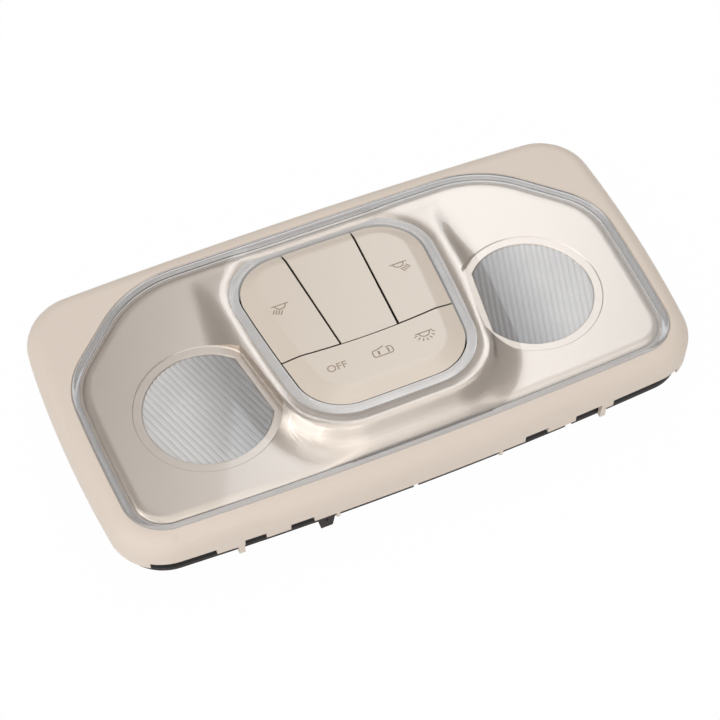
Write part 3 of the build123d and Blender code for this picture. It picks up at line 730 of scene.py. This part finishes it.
def curveMesh(curve):
    helper = bpy.data.objects.new("curveHelper", curve)
    bpy.context.scene.collection.objects.link(helper)
    bpy.context.view_layer.update()
    mesh = bpy.data.meshes.new_from_object(helper.evaluated_get(bpy.context.evaluated_depsgraph_get()))
    bm = bmesh.new()
    bm.from_mesh(mesh)
    bpy.data.meshes.remove(mesh)
    dropObject(helper)
    return bm


markPlaces = {                                  # the key that carries a mark, and its place there in mm
    "mapMarkLeft": ("map_button_left", -23.64, 13.86), "mapMarkRight": ("map_button_right", 22.71, 14.3),
    "offMark": ("mode_rocker", -16.41, -21.46), "roomLampMark": ("mode_rocker", 17.27, -19.71),
    "carMark": ("mode_rocker", 0.72, -21.77), "carRearWindow": ("mode_rocker", 0.72, -21.77),
    "carWindscreen": ("mode_rocker", 0.72, -21.77),
}


def addMark(bm, name):                          # printed on a key, following its crown
    node, x, y = markPlaces[name]
    source = mergedCopy(node)
    source.transform(keyPlace.inverted())
    tree = BVHTree.FromBMesh(source)
    bmesh.ops.scale(bm, verts=bm.verts, vec=(1, 1, inkLook["flat"]))
    bmesh.ops.translate(bm, verts=bm.verts, vec=(x * mm, y * mm, 0))
    for vert in bm.verts:
        hit = tree.ray_cast(Vector((vert.co.x, vert.co.y, farOff)), -upwards)[0]
        vert.co.z += hit.z + inkLook["lift"]
    source.free()
    bm.transform(keyPlace)
    mark = meshObject(bm, name)
    mark.data.materials.append(markInk)
    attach(mark, bodyOf[node])


def arc(radius, first, last, steps, centre=(0.0, 0.0)):
    turns = [math.radians(first + (last - first) * i / steps) for i in range(steps + 1)]
    return [(centre[0] + radius * math.cos(t), centre[1] + radius * math.sin(t)) for t in turns]


domeIcon = {"radius": 2.0, "reach": 3.3, "steps": 14, "rayStart": 2.9, "rayEnd": 4.1,
            "rayTurns": range(195, 346, 25)}
mapRays = {"count": 4, "gap": 0.85, "top": -2.8, "rise": 0.42, "lean": 1.19, "drop": 1.83}


def domeStrokes():                              # a ceiling line with the half dome under it
    reach = domeIcon["reach"]
    return [[(-reach, 0), (reach, 0)], arc(domeIcon["radius"], 180, 360, domeIcon["steps"])]


def roomLampStrokes():
    rays = []
    for turn in domeIcon["rayTurns"]:
        across, along = math.cos(math.radians(turn)), math.sin(math.radians(turn))
        rays.append([(across * r, along * r) for r in (domeIcon["rayStart"], domeIcon["rayEnd"])])
    return domeStrokes() + rays


def mapLampStrokes(side):                       # the rays of a map lamp fall outwards
    rays = []
    for i in range(mapRays["count"]):
        x, y = side * mapRays["gap"] * i, mapRays["top"] + mapRays["rise"] * i
        rays.append([(x, y), (x + side * mapRays["lean"], y - mapRays["drop"])])
    return domeStrokes() + rays


carIcon = {"tail": -3.65, "nose": 3.7, "half": 1.55, "corner": 0.95, "steps": 5, "hinge": -1.6, "latch": 1.5,
           "doorTip": (1.0, 2.5), "rearWindow": [(-1.45, -0.85), (-1.45, 0.85)], "rearLine": 0.75 * mm,
           "screenRadius": 4.0, "screenHalf": 15, "screenCentre": (-1.85, 0), "screenLine": 0.6 * mm}


def carStrokes():                               # a car from above with its door open
    corner, steps = carIcon["corner"], carIcon["steps"]
    left, right, side = carIcon["tail"] + corner, carIcon["nose"] - corner, carIcon["half"] - corner
    hinge = (carIcon["hinge"], carIcon["half"])
    body = [hinge]
    body += arc(corner, 90, 180, steps, (left, side)) + arc(corner, 180, 270, steps, (left, -side))
    body += arc(corner, 270, 360, steps, (right, -side)) + arc(corner, 0, 90, steps, (right, side))
    body += [(carIcon["latch"], carIcon["half"])]
    return [body, [hinge, carIcon["doorTip"]]]


def windscreenStrokes():
    half = carIcon["screenHalf"]
    return [arc(carIcon["screenRadius"], -half, half, carIcon["steps"], carIcon["screenCentre"])]


addMark(strokeMesh(mapLampStrokes(-1)), "mapMarkLeft")
addMark(strokeMesh(mapLampStrokes(1)), "mapMarkRight")
addMark(letterMesh("OFF"), "offMark")
addMark(strokeMesh(roomLampStrokes()), "roomLampMark")
addMark(strokeMesh(carStrokes()), "carMark")
addMark(strokeMesh([carIcon["rearWindow"]], carIcon["rearLine"]), "carRearWindow")
addMark(strokeMesh(windscreenStrokes(), carIcon["screenLine"]), "carWindscreen")
print("marks printed")


stageLook = {"size": 8.0, "colour": (0.93, 0.93, 0.93, 1.0), "whiteness": 0.985}


def makeFloor():                                # white to the camera, and plain to the light that falls on it
    bm = bmesh.new()
    bmesh.ops.create_grid(bm, x_segments=2, y_segments=2, size=stageLook["size"] / 2)
    floor = meshObject(bm, "floor")
    material, shade = newMaterial("paleFloor")
    path = shade.add("LightPath")
    seen = path.pick("Is Camera Ray") + path.pick("Is Glossy Ray") + path.pick("Is Transmission Ray")
    plain = shade.add("BsdfDiffuse", None, {"Color": stageLook["colour"]})
    white = shade.add("Emission", None, {"Color": (1.0, 1.0, 1.0, 1.0), "Strength": 1.0})
    mixed = shade.add("MixShader", None, {0: seen * stageLook["whiteness"], 1: plain, 2: white})
    shade.add("OutputMaterial", None, {"Surface": mixed})
    floor.data.materials.append(material)


softboxes = {                                   # turn from the rear and height in degrees, sizes in metres
    "rearRightBox": {"turn": 31.0, "height": 48.0, "distance": 1.6, "width": 0.55, "depth": 0.95,
                     "radiance": 1.29, "colour": (0.93, 1.0, 1.07)},
    "leftStrip": {"turn": -75.0, "height": 50.0, "distance": 1.6, "width": 0.04, "depth": 1.0,
                  "radiance": 5.0},
    "topBox": {"turn": 150.0, "height": 80.0, "distance": 1.6, "width": 1.7, "depth": 1.7, "radiance": 0.82},
    "rearBox": {"turn": 8.0, "height": 34.0, "distance": 1.8, "width": 1.4, "depth": 0.6, "radiance": 0.25},
    "frontBox": {"turn": -160.0, "height": 36.0, "distance": 1.8, "width": 2.2, "depth": 1.8,
                 "radiance": 0.86},
    "leftBox": {"turn": -97.0, "height": 32.0, "distance": 1.8, "width": 1.6, "depth": 1.4, "radiance": 1.4},
}
worldGlow = {"left": (0.22, 0.2134, 0.209, 1.0), "right": (0.42, 0.4074, 0.399, 1.0)}


def towards(turn, height):                      # a direction from its turn and height
    turn, height = math.radians(turn), math.radians(height)
    return Vector((math.sin(turn) * math.cos(height), math.cos(turn) * math.cos(height), math.sin(height)))


def makeLights():
    for name, box in softboxes.items():
        lamp = bpy.data.lights.new(name, "AREA")
        lamp.shape = "RECTANGLE"
        lamp.size, lamp.size_y = box["width"], box["depth"]
        lamp.energy = box["radiance"] * math.pi * box["width"] * box["depth"]
        lamp.color = box.get("colour", (1.0, 1.0, 1.0))
        holder = bpy.data.objects.new(name, lamp)
        place = towards(box["turn"], box["height"])
        holder.location = place * box["distance"]
        holder.rotation_euler = place.to_track_quat("Z", "Y").to_euler()
        bpy.context.scene.collection.objects.link(holder)


def makeWorld():                                # dimmer towards the left
    world = bpy.data.worlds.new("studio")
    world.use_nodes = True
    shade = Shade(world.node_tree)
    across = shade.add("SeparateXYZ", None, {0: shade.add("TexCoord").pick("Generated")}).pick("X")
    colour = shade.blend(0.5 + 0.5 * across, worldGlow["left"], worldGlow["right"])
    glow = shade.add("Background", None, {"Color": colour, "Strength": 1.0})
    shade.add("OutputWorld", None, {"Surface": glow})
    bpy.context.scene.world = world


cameraView = {"azimuth": -23.80, "elevation": 54.32, "distance": 0.6002, "aim": (-0.00498, -0.00932, 0.02827),
              "lens": 84.95, "sensor": 36.0, "nearest": 0.01}


def makeCamera():
    back = towards(180.0 - cameraView["azimuth"], cameraView["elevation"])
    data = bpy.data.cameras.new("photoView")
    data.lens = cameraView["lens"]
    data.sensor_width = cameraView["sensor"]
    data.clip_start = cameraView["nearest"]
    camera = bpy.data.objects.new("photoView", data)
    camera.location = Vector(cameraView["aim"]) + back * cameraView["distance"]
    camera.rotation_euler = back.to_track_quat("Z", "Y").to_euler()
    bpy.context.scene.collection.objects.link(camera)
    bpy.context.scene.camera = camera


makeFloor()
makeLights()
makeWorld()
makeCamera()
bpy.context.scene.view_settings.view_transform = "Standard"
print("stage set")
